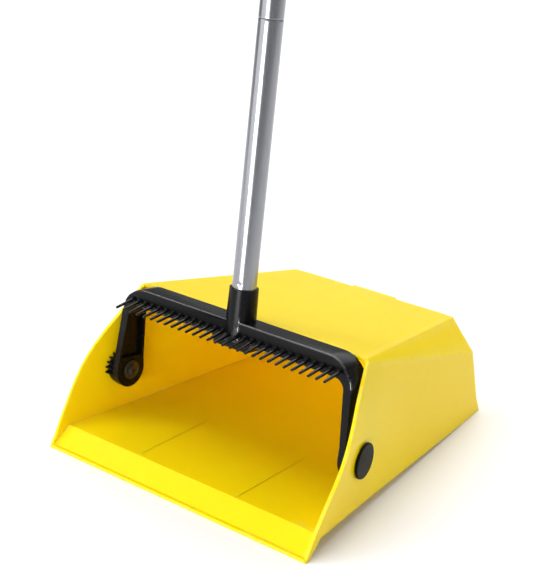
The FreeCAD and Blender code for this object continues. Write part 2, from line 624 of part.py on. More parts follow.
lower_tube = tube_part("lower_tube", size("socket_floor"), size("joint_1"))
dimple_turn = Rotation(Vector(0, 0, 1), size("dimple_turn"))
dimple_ahead = Vector(0, -size("tube_r") - size("dimple_r") + size("dimple_deep"), size("dimple_z"))
primitive(lower_tube, "SubtractiveSphere", "crimp_dimple",
          Placement(dimple_turn.multVec(dimple_ahead), Rotation()), Radius="Sizes.dimple_r")
tube_part("middle_tube", size("joint_1"), size("joint_2"))
tube_part("upper_tube", size("joint_2"), size("tube_top"))
socket_part("lower_joint_socket", size("joint_1"))
stud_part("middle_joint_stud", size("joint_1"))
socket_part("middle_joint_socket", size("joint_2"))
stud_part("upper_joint_stud", size("joint_2"))
foot = size("socket_floor")
stub = size("stub_len")
base_plug = turned("base_plug", [(0, foot), (plug_r, foot), (plug_r, foot + stub),
                                 (plug_r - 1, foot + stub + 2), (0, foot + stub + 2)])
base_plug.Placement = pole_place
top = size("tube_top")
grip_plug = turned("grip_plug", [(0, top - stub), (plug_r - 1, top - stub), (plug_r, top - stub + 2),
                                 (plug_r, top), (0, top)])
grip_plug.Placement = pole_place

# grip: a fluted sleeve with a closed, rounded top and a hole to hang it by
grip_low = size("grip_low")
grip_top = size("grip_top")
grip_r = size("grip_r")
crown_r = size("crown_r")
grip = new_body("grip")
grip_profile = flat_sketch(grip, "grip_profile", "XZ_Plane")
outline(grip_profile, [(size("tube_r") + 0.03, "grip_low"), (grip_r + 0.4, "grip_low"),
                       (grip_r + 0.7, grip_low + 3), ("grip_r", grip_low + 9),
                       ("grip_r", grip_top - crown_r),
                       (grip_r - crown_r, "grip_top"), (0, "grip_top"), (0, top + 0.1),
                       (size("tube_r") + 0.03, top + 0.1)],
        {4: (grip_r - crown_r * diagonal, grip_top - crown_r * diagonal)})
grip_spin = grip.newObject("PartDesign::Revolution", "grip_sleeve")
grip_spin.Profile = grip_profile
grip_spin.ReferenceAxis = (grip_profile, ["V_Axis"])
grip_spin.Angle = 360.0
primitive(grip, "SubtractiveCylinder", "hang_hole",
          Placement(Vector(0, 30, size("hang_z")), Rotation(Vector(1, 0, 0), 90)),
          Radius="Sizes.hang_r", Height="60 mm")
flute = primitive(grip, "SubtractiveCylinder", "grip_flute",
                  Placement(Vector(0, -grip_r - size("flute_r") + size("flute_deep"), grip_low + 12),
                            Rotation()),
                  Radius="Sizes.flute_r", Height="%f mm" % (top - grip_low - 22))
doc.recompute()
flutes = grip.newObject("PartDesign::PolarPattern", "grip_flutes")
flutes.Originals = [flute]
flutes.Axis = ([f for f in grip.Origin.OriginFeatures if f.Role == "Z_Axis"][0], [""])
flutes.Angle = 360
flutes.Occurrences = int(size("flutes"))
grip.Tip = flutes
grip.Placement = pole_place

# broom clip: a ring that turns on the pole, and an open hook beside it
clip = new_body("broom_clip")
clip_low = size("clip_z") - size("clip_h") / 2
clip_base = Vector(0, 0, clip_low)
hook_base = Vector(size("hook_x"), 0, clip_low)
primitive(clip, "AdditiveCylinder", "clip_ring", Placement(clip_base, Rotation()),
          Radius="Sizes.tube_r + Sizes.clip_wall + 0.5", Height="Sizes.clip_h")
primitive(clip, "AdditiveCylinder", "clip_hook", Placement(hook_base, Rotation()),
          Radius="Sizes.hook_r + Sizes.clip_wall - 0.3", Height="Sizes.clip_h")
primitive(clip, "AdditiveBox", "clip_web",
          Placement(clip_base + Vector(9, -size("web_w") / 2, 0), Rotation()),
          Length="9 mm", Width="Sizes.web_w", Height="Sizes.clip_h")
primitive(clip, "SubtractiveCylinder", "hook_inside", Placement(hook_base - Vector(0, 0, 5), Rotation()),
          Radius="Sizes.hook_r", Height="Sizes.clip_h + 10")
primitive(clip, "SubtractiveBox", "hook_throat",
          Placement(hook_base + Vector(-size("throat_w") / 2, -20, -5), Rotation()),
          Length="Sizes.throat_w", Width="20 mm", Height="Sizes.clip_h + 10")
primitive(clip, "SubtractiveCylinder", "ring_bore", Placement(clip_base - Vector(0, 0, 5), Rotation()),
          Radius="Sizes.tube_r + Sizes.run_gap", Height="Sizes.clip_h + 10")
clip.Placement = pole_place
doc.recompute()

# ---- check and write -------------------------------------------------------------------------------
for obj in doc.Objects:
    if "Invalid" in obj.State or "Error" in obj.State:
        raise RuntimeError("%s: %s" % (obj.Label, obj.State))
os.makedirs("parts", exist_ok=True)
for label, obj in parts.items():
    shape = obj.Shape
    if shape.isNull() or not shape.isValid() or not shape.Solids:
        raise RuntimeError("%s has no valid solid" % label)
    shape.exportStep("parts/%s.step" % label)
    box = shape.BoundBox
    print("%-22s %d solids %9.0f mm3  x %.1f %.1f  y %.1f %.1f  z %.1f %.1f" % (
        label, len(shape.Solids), shape.Volume, box.XMin, box.XMax, box.YMin, box.YMax, box.ZMin, box.ZMax))
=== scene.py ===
import json
import math
import bmesh
import bpy
import numpy as np
from mathutils import Matrix, Vector


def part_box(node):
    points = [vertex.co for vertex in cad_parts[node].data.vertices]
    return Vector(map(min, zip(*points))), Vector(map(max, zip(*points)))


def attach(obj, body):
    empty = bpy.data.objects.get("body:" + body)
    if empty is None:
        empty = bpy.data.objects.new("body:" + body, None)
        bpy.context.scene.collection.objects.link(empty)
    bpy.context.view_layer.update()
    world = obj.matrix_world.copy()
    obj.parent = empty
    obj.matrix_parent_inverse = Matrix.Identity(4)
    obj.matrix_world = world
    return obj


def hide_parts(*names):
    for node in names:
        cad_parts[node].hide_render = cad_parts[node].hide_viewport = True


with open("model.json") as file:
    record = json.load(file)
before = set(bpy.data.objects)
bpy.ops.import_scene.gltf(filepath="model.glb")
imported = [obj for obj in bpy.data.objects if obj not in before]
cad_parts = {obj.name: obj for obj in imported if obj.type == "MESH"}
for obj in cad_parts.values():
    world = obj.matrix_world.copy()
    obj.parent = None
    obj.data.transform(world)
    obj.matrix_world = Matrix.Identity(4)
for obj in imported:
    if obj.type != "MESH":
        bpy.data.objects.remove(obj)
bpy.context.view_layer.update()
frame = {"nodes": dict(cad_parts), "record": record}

# ---- camera ----------------------------------------------------------------------------------------
# It looks down into the mouth from the front right, at the height of a person bending to sweep,
# through a long lens that keeps the far wall nearly as tall as the near one.
turn = math.radians(38.73)
height = math.radians(25.784)
roll = math.radians(-0.40)
distance = 1.1574
target = Vector((0, 0.18805, 0.060))
back = Vector((math.sin(turn) * math.cos(height), -math.cos(turn) * math.cos(height), math.sin(height)))
level_right = (-back).cross(Vector((0, 0, 1))).normalized()
level_up = level_right.cross(-back)
camera_right = level_right * math.cos(roll) + level_up * math.sin(roll)
camera_up = level_up * math.cos(roll) - level_right * math.sin(roll)
camera = bpy.data.objects.new("camera", bpy.data.cameras.new("camera"))
bpy.context.scene.collection.objects.link(camera)
axes = Matrix((camera_right, camera_up, back)).transposed().to_4x4()
camera.matrix_world = Matrix.Translation(target + back * distance) @ axes
camera.data.sensor_width = 36
camera.data.lens = 86.12
camera.data.shift_x = -0.0977
camera.data.shift_y = 0.0963
camera.data.clip_end = 50
bpy.context.scene.camera = camera
bpy.context.scene.view_settings.view_transform = "Standard"

# ---- studio ----------------------------------------------------------------------------------------
# A plain white floor under a pale room. Soft lamps stand above, in front on the left, low before the
# mouth, behind on the right and over the floor beyond the pan. One narrow lamp draws the bright line
# along the crossbar's top edge.
FLOOR_HALF = 12
floor_mesh = bpy.data.meshes.new("studio_floor")
floor_corners = [(-FLOOR_HALF, -FLOOR_HALF, 0), (FLOOR_HALF, -FLOOR_HALF, 0),
                 (FLOOR_HALF, FLOOR_HALF, 0), (-FLOOR_HALF, FLOOR_HALF, 0)]
floor_mesh.from_pydata(floor_corners, [], [(0, 1, 2, 3)])
floor = bpy.data.objects.new("studio_floor", floor_mesh)
bpy.context.scene.collection.objects.link(floor)
floor_paint = bpy.data.materials.new("studio_floor")
floor_paint.use_nodes = True
floor_shader = floor_paint.node_tree.nodes["Principled BSDF"]
floor_shader.inputs["Base Color"].default_value = (0.95, 0.95, 0.95, 1)
floor_shader.inputs["Roughness"].default_value = 0.9
floor_shader.inputs["Specular IOR Level"].default_value = 0.1
floor.data.materials.append(floor_paint)

room = bpy.data.worlds.new("studio")
bpy.context.scene.world = room
room.use_nodes = True
room.node_tree.nodes["Background"].inputs["Color"].default_value = (1, 1, 1, 1)
room.node_tree.nodes["Background"].inputs["Strength"].default_value = 0.32


def softbox(name, place, aim, wide, tall, power, spread=180):
    """A rectangular lamp of wide by tall metres at place, facing aim, shining within spread degrees."""
    lamp = bpy.data.lights.new(name, "AREA")
    lamp.shape = "RECTANGLE"
    lamp.size = wide
    lamp.size_y = tall
    lamp.energy = power
    lamp.spread = math.radians(spread)
    holder = bpy.data.objects.new(name, lamp)
    bpy.context.scene.collection.objects.link(holder)
    holder.location = place
    holder.rotation_euler = (Vector(aim) - Vector(place)).to_track_quat("-Z", "Y").to_euler()


softbox("top_light", (-0.5, 0.6, 2.6), (0, 0.15, 0), 2.0, 2.0, 17, 125)
softbox("front_left_light", (-1.15, -1.70, 0.86), (0, 0.1, 0.2), 2.2, 1.7, 17)
softbox("low_front_light", (0.15, -1.9, 0.30), (0, 0.2, 0.05), 0.9, 0.6, 4, 70)
softbox("edge_light", (-1.36, -0.22, 1.88), (0, 0.08, 0.12), 0.2, 1.2, 9)
softbox("right_back_light", (1.9, 1.0, 1.1), (0, 0.1, 0.1), 1.0, 1.4, 6)
softbox("backdrop_light", (-0.8, 3.2, 2.4), (-0.8, 3.2, 0), 3.0, 3.0, 90)

# ---- pan -------------------------------------------------------------------------------------------
# One injection moulding in glossy yellow polypropylene, 2.6 mm thick. Its floor rises behind the lip,
# its side walls flare towards the mouth, and two sloping facets cut the back's upper corners.
pan_far_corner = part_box("pan_shell")[1]
BACK_Y = pan_far_corner.y
TOP_Z = pan_far_corner.z
LIP_Y = 0.0008
LIP_LAND = 0.003
FOOT_LAND = 0.014
RAMP_Y = 0.0187
RAMP_Z = 0.011
WALL = 0.0026
LIP_HALF = 0.1343
WALL_TAPER = 0.1035
WALL_LEAN = 0.0718
FLARE = 0.0088
FLARE_REACH = 0.110
MOUTH_TOP_Y = 0.097
MOUTH_BOW = 0.005
ROOF_HALF = 0.1143
BACK_TOP_Y = 0.2585
BACK_TOP_Z = 0.084
BACK_ROOF_HALF = 0.084
FACET_FRONT = np.array([0.0953, 0.1150])
FACET_BACK = np.array([0.262, 0.056])
WALL_TALL = 0.152
WALL_FALL = 0.227
BACK_MIDDLE = np.array([0, BACK_Y - 0.0045, 0.040])
FLOOR_CORNER_R = 0.0022
UPPER_CORNER_R = 0.0057
CORNER_RISE = 0.012
CORNER_FROM_X = 0.07
CORNER_FADE = 0.02
RIM_EASE = 0.0011


def underside(y):
    """Height of the pan's underside: flat lip land, ramp up, long fall to the foot land."""
    return np.interp(y, [-LIP_Y, LIP_LAND, RAMP_Y, BACK_Y - FOOT_LAND, BACK_Y], [0, 0, RAMP_Z, 0, 0])


def wall_half(y, z):
    """Half the width at a depth and height: a plane, plus a bend at mid height that grows as the
    square of the way towards the mouth."""
    plane = LIP_HALF - WALL_TAPER * y - WALL_LEAN * z
    reach = y - z * MOUTH_TOP_Y / TOP_Z
    # the wall's height along the mouth's slope falls with depth, as the roof comes down
    top = WALL_TALL - WALL_FALL * np.clip(reach, 0, FLARE_REACH)
    share = np.clip(z * math.hypot(MOUTH_TOP_Y, TOP_Z) / TOP_Z / top, 0, 1)
    bend = np.interp(share, [0, 0.10, 0.36, 0.44, 0.50, 0.56, 0.62, 0.70, 0.90, 1.0],
                     [0, 0.18, 0.76, 0.91, 0.98, 0.98, 0.93, 0.79, 0.26, 0])
    return plane + FLARE * bend * np.clip(1 - reach / FLARE_REACH, 0, 1.1) ** 2


def pan_loop(depth):
    """One loop round the pan at a depth from 0 at the mouth to 1 at the back edge: along the
    underside, up the side wall, in over the facet, across the roof, and down the other side."""
    low = np.array([-LIP_Y + depth * (BACK_Y + LIP_Y), 0])
    low[1] = underside(low[0])
    facet = FACET_FRONT + depth * (FACET_BACK - FACET_FRONT)
    roof = np.array([MOUTH_TOP_Y + depth * (BACK_TOP_Y - MOUTH_TOP_Y), TOP_Z + depth * (BACK_TOP_Z - TOP_Z)])
    roof_half = ROOF_HALF + depth * (BACK_ROOF_HALF - ROOF_HALF)
    # the wall's line bows forward a little at the mouth and is straight at the back
    up = np.linspace(0, 1, 45)[:, None]
    chord = facet - low
    forward = np.array([-chord[1], chord[0]]) / np.hypot(*chord)
    bow = 4 * MOUTH_BOW * (1 - depth) ** 2 * up * (1 - up)
    side = low + up * chord + bow * forward
    wall = np.column_stack([wall_half(side[:, 0], side[:, 1]), side])
    roof_corner = np.array([roof_half, *roof])
    over = wall[-1] + np.linspace(0, 1, 7)[:, None] * (roof_corner - wall[-1])
    right = np.concatenate([wall[:-1], over])
    left = right[::-1] * (-1, 1, 1)
    share = np.linspace(-1, 1, 63)[1:-1, None]
    under = np.array([0, *low]) + share * (wall[0, 0], 0, 0)
    top = np.array([0, *roof]) - share * (roof_half, 0, 0)
    return np.concatenate([under, right, top, left])


def pan_surface():
    """All the pan's loops, mouth to back, then round the back edge on a curve that is tight along the
    floor and wide up the corners, and then shrinking evenly over the back wall to its middle."""
    depths = np.concatenate([[0, 0.006, 0.0141, 0.03, 0.045, 0.06, 0.0725], np.linspace(0.085, 0.93, 60),
                             [0.948, 0.96]])
    body = np.array([pan_loop(depth) for depth in depths])
    edge = pan_loop(1.0)
    outer = np.clip((np.abs(edge[:, 0]) - CORNER_FROM_X) / CORNER_FADE, 0, 1)
    up_corner = np.clip(edge[:, 2] / CORNER_RISE, 0, 1) * outer
    radius = (FLOOR_CORNER_R + (UPPER_CORNER_R - FLOOR_CORNER_R) * up_corner)[:, None]
    forward = (body[-1] - edge) / np.linalg.norm(body[-1] - edge, axis=1)[:, None]
    inward = (BACK_MIDDLE - edge) / np.linalg.norm(BACK_MIDDLE - edge, axis=1)[:, None]
    start = edge + forward * radius
    end = edge + inward * radius
    along = np.linspace(0, 1, 7)[:, None, None]
    rounded = (1 - along) ** 2 * start + 2 * along * (1 - along) * edge + along ** 2 * end
    shrink = np.array([0.1, 0.3, 0.55, 0.8])[:, None, None]
    return np.concatenate([body, rounded, end + shrink * (BACK_MIDDLE - end)])


def link(tree, source, sink):
    """Joins one node's output to another's input."""
    tree.links.new(source, sink)


def number_input(tree, name, value):
    """One number input on a node group."""
    tree.interface.new_socket(name=name, in_out="INPUT", socket_type="NodeSocketFloat").default_value = value


def moulded_group():
    """Moulded plastic: puts out a shade (-1 to 1), a roughness offset, a height and a scuff mask."""
    tree = bpy.data.node_groups.new("moulded_surface", "ShaderNodeTree")
    number_input(tree, "Grain scale", 900.0)
    number_input(tree, "Cloud scale", 9.0)
    number_input(tree, "Scuff amount", 0.5)
    for name in ("Shade", "Roughness shift", "Height", "Scuffs"):
        tree.interface.new_socket(name=name, in_out="OUTPUT", socket_type="NodeSocketFloat")
    nodes = tree.nodes
    inlet = nodes.new("NodeGroupInput")
    outlet = nodes.new("NodeGroupOutput")
    place = nodes.new("ShaderNodeTexCoord")
    grain = nodes.new("ShaderNodeTexNoise")
    grain.inputs["Detail"].default_value = 3
    cloud = nodes.new("ShaderNodeTexNoise")
    cloud.inputs["Detail"].default_value = 4
    cloud.inputs["Roughness"].default_value = 0.6
    link(tree, place.outputs["Object"], grain.inputs["Vector"])
    link(tree, place.outputs["Object"], cloud.inputs["Vector"])
    link(tree, inlet.outputs["Grain scale"], grain.inputs["Scale"])
    link(tree, inlet.outputs["Cloud scale"], cloud.inputs["Scale"])
    # scuffs: thin, long, faint marks where a stretched noise crosses a narrow band, in a few patches
    stretch = nodes.new("ShaderNodeMapping")
    stretch.inputs["Scale"].default_value = (40, 260, 120)
    stretch.inputs["Rotation"].default_value = (0.3, 0.2, 0.7)
    marks = nodes.new("ShaderNodeTexNoise")
    marks.inputs["Scale"].default_value = 1.0
    marks.inputs["Detail"].default_value = 2
    band = nodes.new("ShaderNodeMapRange")
    band.inputs["From Min"].default_value = 0.66
    band.inputs["From Max"].default_value = 0.74
    patch = nodes.new("ShaderNodeMapRange")
    patch.inputs["From Min"].default_value = 0.48
    patch.inputs["From Max"].default_value = 0.66
    both = nodes.new("ShaderNodeMath")
    both.operation = "MULTIPLY"
    amount = nodes.new("ShaderNodeMath")
    amount.operation = "MULTIPLY"
    link(tree, place.outputs["Object"], stretch.inputs["Vector"])
    link(tree, stretch.outputs["Vector"], marks.inputs["Vector"])
    link(tree, marks.outputs["Fac"], band.inputs["Value"])
    link(tree, cloud.outputs["Fac"], patch.inputs["Value"])
    link(tree, band.outputs["Result"], both.inputs[0])
    link(tree, patch.outputs["Result"], both.inputs[1])
    link(tree, both.outputs["Value"], amount.inputs[0])
    link(tree, inlet.outputs["Scuff amount"], amount.inputs[1])
    shade = nodes.new("ShaderNodeMapRange")
    shade.inputs["From Min"].default_value = 0.3
    shade.inputs["From Max"].default_value = 0.7
    shade.inputs["To Min"].default_value = -1
    link(tree, cloud.outputs["Fac"], shade.inputs["Value"])
    shift = nodes.new("ShaderNodeMath")
    shift.operation = "MULTIPLY_ADD"
    shift.inputs[1].default_value = 0.04
    scuff_rough = nodes.new("ShaderNodeMath")
    scuff_rough.operation = "MULTIPLY"
    scuff_rough.inputs[1].default_value = 0.25
    link(tree, amount.outputs["Value"], scuff_rough.inputs[0])
    link(tree, shade.outputs["Result"], shift.inputs[0])
    link(tree, scuff_rough.outputs["Value"], shift.inputs[2])
    link(tree, shade.outputs["Result"], outlet.inputs["Shade"])
    link(tree, shift.outputs["Value"], outlet.inputs["Roughness shift"])
    link(tree, grain.outputs["Fac"], outlet.inputs["Height"])
    link(tree, amount.outputs["Value"], outlet.inputs["Scuffs"])
    return tree


def edge_wear_and_sheen_group():
    """Rubbed edges and a painted highlight: puts out a mask that is 1 on sharp convex edges and fades over
    the flats.
    """
    tree = bpy.data.node_groups.new("edge_wear_and_sheen", "ShaderNodeTree")
    number_input(tree, "Reach", 0.5)
    tree.interface.new_socket(name="Mask", in_out="OUTPUT", socket_type="NodeSocketFloat")
    nodes = tree.nodes
    inlet = nodes.new("NodeGroupInput")
    outlet = nodes.new("NodeGroupOutput")
    shape = nodes.new("ShaderNodeNewGeometry")
    place = nodes.new("ShaderNodeTexCoord")
    ragged = nodes.new("ShaderNodeTexNoise")
    ragged.inputs["Scale"].default_value = 160
    ragged.inputs["Detail"].default_value = 3
    convex = nodes.new("ShaderNodeMapRange")
    convex.inputs["From Min"].default_value = 0.505
    convex.inputs["From Max"].default_value = 0.58
    broken = nodes.new("ShaderNodeMapRange")
    broken.inputs["From Min"].default_value = 0.35
    broken.inputs["From Max"].default_value = 0.65
    times = nodes.new("ShaderNodeMath")
    times.operation = "MULTIPLY"
    scaled = nodes.new("ShaderNodeMath")
    scaled.operation = "MULTIPLY"
    scaled.use_clamp = True
    link(tree, shape.outputs["Pointiness"], convex.inputs["Value"])
    link(tree, place.outputs["Object"], ragged.inputs["Vector"])
    link(tree, ragged.outputs["Fac"], broken.inputs["Value"])
    link(tree, convex.outputs["Result"], times.inputs[0])
    link(tree, broken.outputs["Result"], times.inputs[1])
    link(tree, times.outputs["Value"], scaled.inputs[0])
    link(tree, inlet.outputs["Reach"], scaled.inputs[1])
    link(tree, scaled.outputs["Value"], outlet.inputs["Mask"])
    return tree


moulded = moulded_group()
edge_wear_and_sheen = edge_wear_and_sheen_group()


def plastic(name, colour, wear_and_sheen_colour, roughness, grain_height, grain_scale, cloud_scale, scuffs, wear_and_sheen_reach, variation,
            specular, subsurface=0.0):
    """A moulded plastic: colour clouded a little, paler on edges for rubbing (on the pan also a painted rim
    highlight), fine grain in the height.
    """
    paint = bpy.data.materials.new(name)
    paint.use_nodes = True
    tree = paint.node_tree
    shader = tree.nodes["Principled BSDF"]
    surface = tree.nodes.new("ShaderNodeGroup")
    surface.node_tree = moulded
    surface.inputs["Grain scale"].default_value = grain_scale
    surface.inputs["Cloud scale"].default_value = cloud_scale
    surface.inputs["Scuff amount"].default_value = scuffs
    edges = tree.nodes.new("ShaderNodeGroup")
    edges.node_tree = edge_wear_and_sheen
    edges.inputs["Reach"].default_value = wear_and_sheen_reach
    base = tree.nodes.new("ShaderNodeRGB")
    base.outputs[0].default_value = (*colour, 1)
    clouded = tree.nodes.new("ShaderNodeHueSaturation")
    bright = tree.nodes.new("ShaderNodeMath")
    bright.operation = "MULTIPLY_ADD"
    bright.inputs[1].default_value = variation
    bright.inputs[2].default_value = 1
    link(tree, surface.outputs["Shade"], bright.inputs[0])
    link(tree, bright.outputs["Value"], clouded.inputs["Value"])
    link(tree, base.outputs[0], clouded.inputs["Color"])
    # the pale edge colour mixed in here stands for rubbing, and on the pan also for a painted highlight
    # along the rim
    wear_and_sheen_mix = tree.nodes.new("ShaderNodeMix")
    wear_and_sheen_mix.data_type = "RGBA"
    wear_and_sheen_mix.inputs["B"].default_value = (*wear_and_sheen_colour, 1)
    mask = tree.nodes.new("ShaderNodeMath")
    mask.operation = "MAXIMUM"
    faint = tree.nodes.new("ShaderNodeMath")
    faint.operation = "MULTIPLY"
    faint.inputs[1].default_value = 0.35
    link(tree, surface.outputs["Scuffs"], faint.inputs[0])
    link(tree, edges.outputs["Mask"], mask.inputs[0])
    link(tree, faint.outputs["Value"], mask.inputs[1])
    link(tree, mask.outputs["Value"], wear_and_sheen_mix.inputs["Factor"])
    link(tree, clouded.outputs["Color"], wear_and_sheen_mix.inputs["A"])
    link(tree, wear_and_sheen_mix.outputs["Result"], shader.inputs["Base Color"])
    rough = tree.nodes.new("ShaderNodeMath")
    rough.operation = "ADD"
    rough.inputs[1].default_value = roughness
    link(tree, surface.outputs["Roughness shift"], rough.inputs[0])
    link(tree, rough.outputs["Value"], shader.inputs["Roughness"])
    bump = tree.nodes.new("ShaderNodeBump")
    bump.inputs["Strength"].default_value = 0.5
    bump.inputs["Distance"].default_value = grain_height
    link(tree, surface.outputs["Height"], bump.inputs["Height"])
    link(tree, bump.outputs["Normal"], shader.inputs["Normal"])
    shader.inputs["Subsurface Weight"].default_value = subsurface
    shader.inputs["Subsurface Radius"].default_value = (1.0, 0.75, 0.1)
    shader.inputs["Subsurface Scale"].default_value = 0.006
    shader.inputs["IOR"].default_value = 1.5
    shader.inputs["Specular IOR Level"].default_value = specular
    return paint


# the pan's pale edge colour (1.0, 0.86, 0.30) is partly rubbed plastic and partly a painted highlight along
# the rim
pan_yellow = plastic("pan_yellow", (1.0, 0.70, 0.003), (1.0, 0.86, 0.30), 0.22, 0.00001, grain_scale=1400.0,
                     cloud_scale=7.0, scuffs=0.06, wear_and_sheen_reach=0.15, variation=0.02, specular=0.22, subsurface=0.45)


def new_piece(name, corners, faces, paint, body, stands_for=()):
    """A mesh piece from arrays of corners and faces: smooth, on its body, in its finish."""
    mesh = bpy.data.meshes.new(name)
    mesh.from_pydata(corners, [], faces)
    mesh.materials.append(paint)
    mesh.polygons.foreach_set("use_smooth", np.ones(len(mesh.polygons), bool))
    mesh.update()
    piece = bpy.data.objects.new(name, mesh)
    bpy.context.scene.collection.objects.link(piece)
    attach(piece, body)
    if stands_for:
        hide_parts(*stands_for)
    return piece


def grid_faces(rows, columns, wrap_columns=False, wrap_rows=False):
    """Quads between the points of a rows by columns grid, closing round on itself where asked."""
    r = np.arange(rows if wrap_rows else rows - 1)
    c = np.arange(columns if wrap_columns else columns - 1)
    rr, cc = np.meshgrid(r, c, indexing="ij")
    next_r = (rr + 1) % rows
    next_c = (cc + 1) % columns
    quads = np.stack([rr * columns + cc, rr * columns + next_c, next_r * columns + next_c,
                      next_r * columns + cc], -1)
    return quads.reshape(-1, 4)


def face_outward(piece):
    """Merges points that coincide and turns the faces to point away from the inside."""
    skin = bmesh.new()
    skin.from_mesh(piece.data)
    bmesh.ops.remove_doubles(skin, verts=skin.verts, dist=1e-7)
    bmesh.ops.recalc_face_normals(skin, faces=skin.faces)
    skin.to_mesh(piece.data)
    skin.free()


def round_edges(piece, width):
    """Eases every edge that turns by more than 22 degrees."""
    ease = piece.modifiers.new("eased_edges", "BEVEL")
    ease.width = width
    ease.segments = 3
    ease.limit_method = "ANGLE"
    ease.angle_limit = math.radians(22)
    ease.harden_normals = True
    ease.use_clamp_overlap = True


pan_loops = pan_surface()
rings, around = pan_loops.shape[:2]
pan_points = np.concatenate([pan_loops.reshape(-1, 3), BACK_MIDDLE[None]])
step = np.arange(around)
last_ring = (rings - 1) * around
closing_fan = np.column_stack([last_ring + step, last_ring + (step + 1) % around,
                               np.full(around, rings * around)])
pan_faces = grid_faces(rings, around, wrap_columns=True).tolist() + closing_fan.tolist()
pan = new_piece("pan_moulding", pan_points, pan_faces, pan_yellow, "pan", ["pan_shell"])
face_outward(pan)
# the skin is open at the mouth, so its first face, on the underside, tells which way it was turned
if pan.data.polygons[0].normal.z > 0:
    pan.data.flip_normals()
thickness = pan.modifiers.new("wall", "SOLIDIFY")
thickness.thickness = WALL
thickness.offset = -1
thickness.use_even_offset = True
thickness.use_quality_normals = True
round_edges(pan, RIM_EASE)

# ---- floor ribs and back tab -----------------------------------------------------------------------
# Two low ribs run back over the pan's floor from the ramp's crest and fade out, and a small raised
# pad sits at the middle of the back wall's top edge. All are part of the yellow moulding.
RIB_X = 0.051
RIB_START = RAMP_Y + 0.0004
RIB_LENGTH = 0.086
RIB_HEIGHT = 0.0007
RIB_HALF = 0.0012
RIB_ROOT = 0.0004
TAB_SIZE = (0.046, 0.0060, 0.0120)
TAB_MIDDLE = (0, BACK_TOP_Y - 0.0003, BACK_TOP_Z - 0.0061)
TAB_EASE = 0.0012


def rib(name, x):
    """A low ridge along the floor: a half-round section whose height grows and fades along its way."""
    rows = 60
    columns = 11
    along = np.linspace(0, 1, rows)
    angle = np.linspace(0, math.pi, columns)
    y = RIB_START + along * RIB_LENGTH
    fall = RAMP_Z / (BACK_Y - FOOT_LAND - RAMP_Y)
    floor_z = RAMP_Z + WALL - fall * (y - RAMP_Y)
    height = RIB_HEIGHT * np.clip(along / 0.04, 0, 1) * np.clip((1 - along) / 0.55, 0, 1)
    half = RIB_HALF * np.clip((1 - along) / 0.1, 0.2, 1)
    px = x - np.cos(angle)[None, :] * half[:, None]
    py = np.repeat(y[:, None], columns, 1)
    pz = floor_z[:, None] - RIB_ROOT + np.sin(angle)[None, :] * (height[:, None] + RIB_ROOT)
    points = np.stack([px, py, pz], -1).reshape(-1, 3)
    faces = grid_faces(rows, columns, wrap_columns=True).tolist()
    faces += [list(range(columns)), list(range((rows - 1) * columns, rows * columns))[::-1]]
    face_outward(new_piece(name, points, faces, pan_yellow, "pan"))


def box_mesh(size, middle):
    """The corners and faces of a box of size about its middle."""
    signs = np.array([(x, y, z) for x in (-1, 1) for y in (-1, 1) for z in (-1, 1)], float)
    faces = np.array([(0, 1, 3, 2), (4, 6, 7, 5), (0, 4, 5, 1), (2, 3, 7, 6), (0, 2, 6, 4), (1, 5, 7, 3)])
    return signs * np.array(size) / 2 + np.array(middle), faces


rib("left_floor_rib", -RIB_X)
rib("right_floor_rib", RIB_X)
tab_corners, tab_faces = box_mesh(TAB_SIZE, TAB_MIDDLE)
tab = new_piece("back_tab", tab_corners, tab_faces.tolist(), pan_yellow, "pan")
face_outward(tab)
round_edges(tab, TAB_EASE)

# ---- yoke ------------------------------------------------------------------------------------------
# A black satin moulding: its CAD solid with the loose triangles joined into whole faces. The crossbar's
# front outline is rounded, glossier and a lighter black as a painted highlight line, and the bosses round
# the comb's teeth stay crisp.
satin_black = plastic("satin_black", (0.0035, 0.0036, 0.0043), (0.035, 0.035, 0.038), 0.27, 0.00001,
                      grain_scale=2200.0, cloud_scale=14.0, scuffs=0.10, wear_and_sheen_reach=0.05, variation=0.15,
                      specular=0.14)
# a glossier black for the rounded front outline; its lighter colour is a painted highlight line
painted_highlight_black = plastic("painted_highlight_black", (0.02, 0.02, 0.022), (0.05, 0.05, 0.05), 0.16, 0.000005,
                         grain_scale=2200.0, cloud_scale=14.0, scuffs=0.05, wear_and_sheen_reach=0.0, variation=0.1,
                         specular=0.9)
BAR_FRONT = -0.012
TOOTH_Z = 0.065
BOSS_REACH = 0.0047
SHORTEST_EASED = 0.0015
OUTLINE_EASE = 0.0010
hinge_facts, swivel_facts = frame["record"]["behaviour"]["joints"]
HINGE = np.array(hinge_facts["pos_m"])
up_pole = np.array(swivel_facts["axis"], float)
up_pole /= np.linalg.norm(up_pole)
across_pole = np.array([1.0, 0, 0])
POLE_AXES = np.array([across_pole, np.cross(up_pole, across_pole), up_pole])


def joined_copy(name, node, paint, body):
    """The CAD node's shape as a piece of its own, with its loose triangles joined into whole faces."""
    mesh = frame["nodes"][node].data.copy()
    mesh.name = name
    skin = bmesh.new()
    skin.from_mesh(mesh)
    bmesh.ops.remove_doubles(skin, verts=skin.verts, dist=2e-6)
    bmesh.ops.dissolve_limit(skin, angle_limit=math.radians(0.6), verts=skin.verts, edges=skin.edges)
    skin.to_mesh(mesh)
    skin.free()
    mesh.materials.clear()
    mesh.materials.append(paint)
    mesh.polygons.foreach_set("use_smooth", np.ones(len(mesh.polygons), bool))
    piece = bpy.data.objects.new(name, mesh)
    bpy.context.scene.collection.objects.link(piece)
    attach(piece, body)
    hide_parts(node)
    return piece


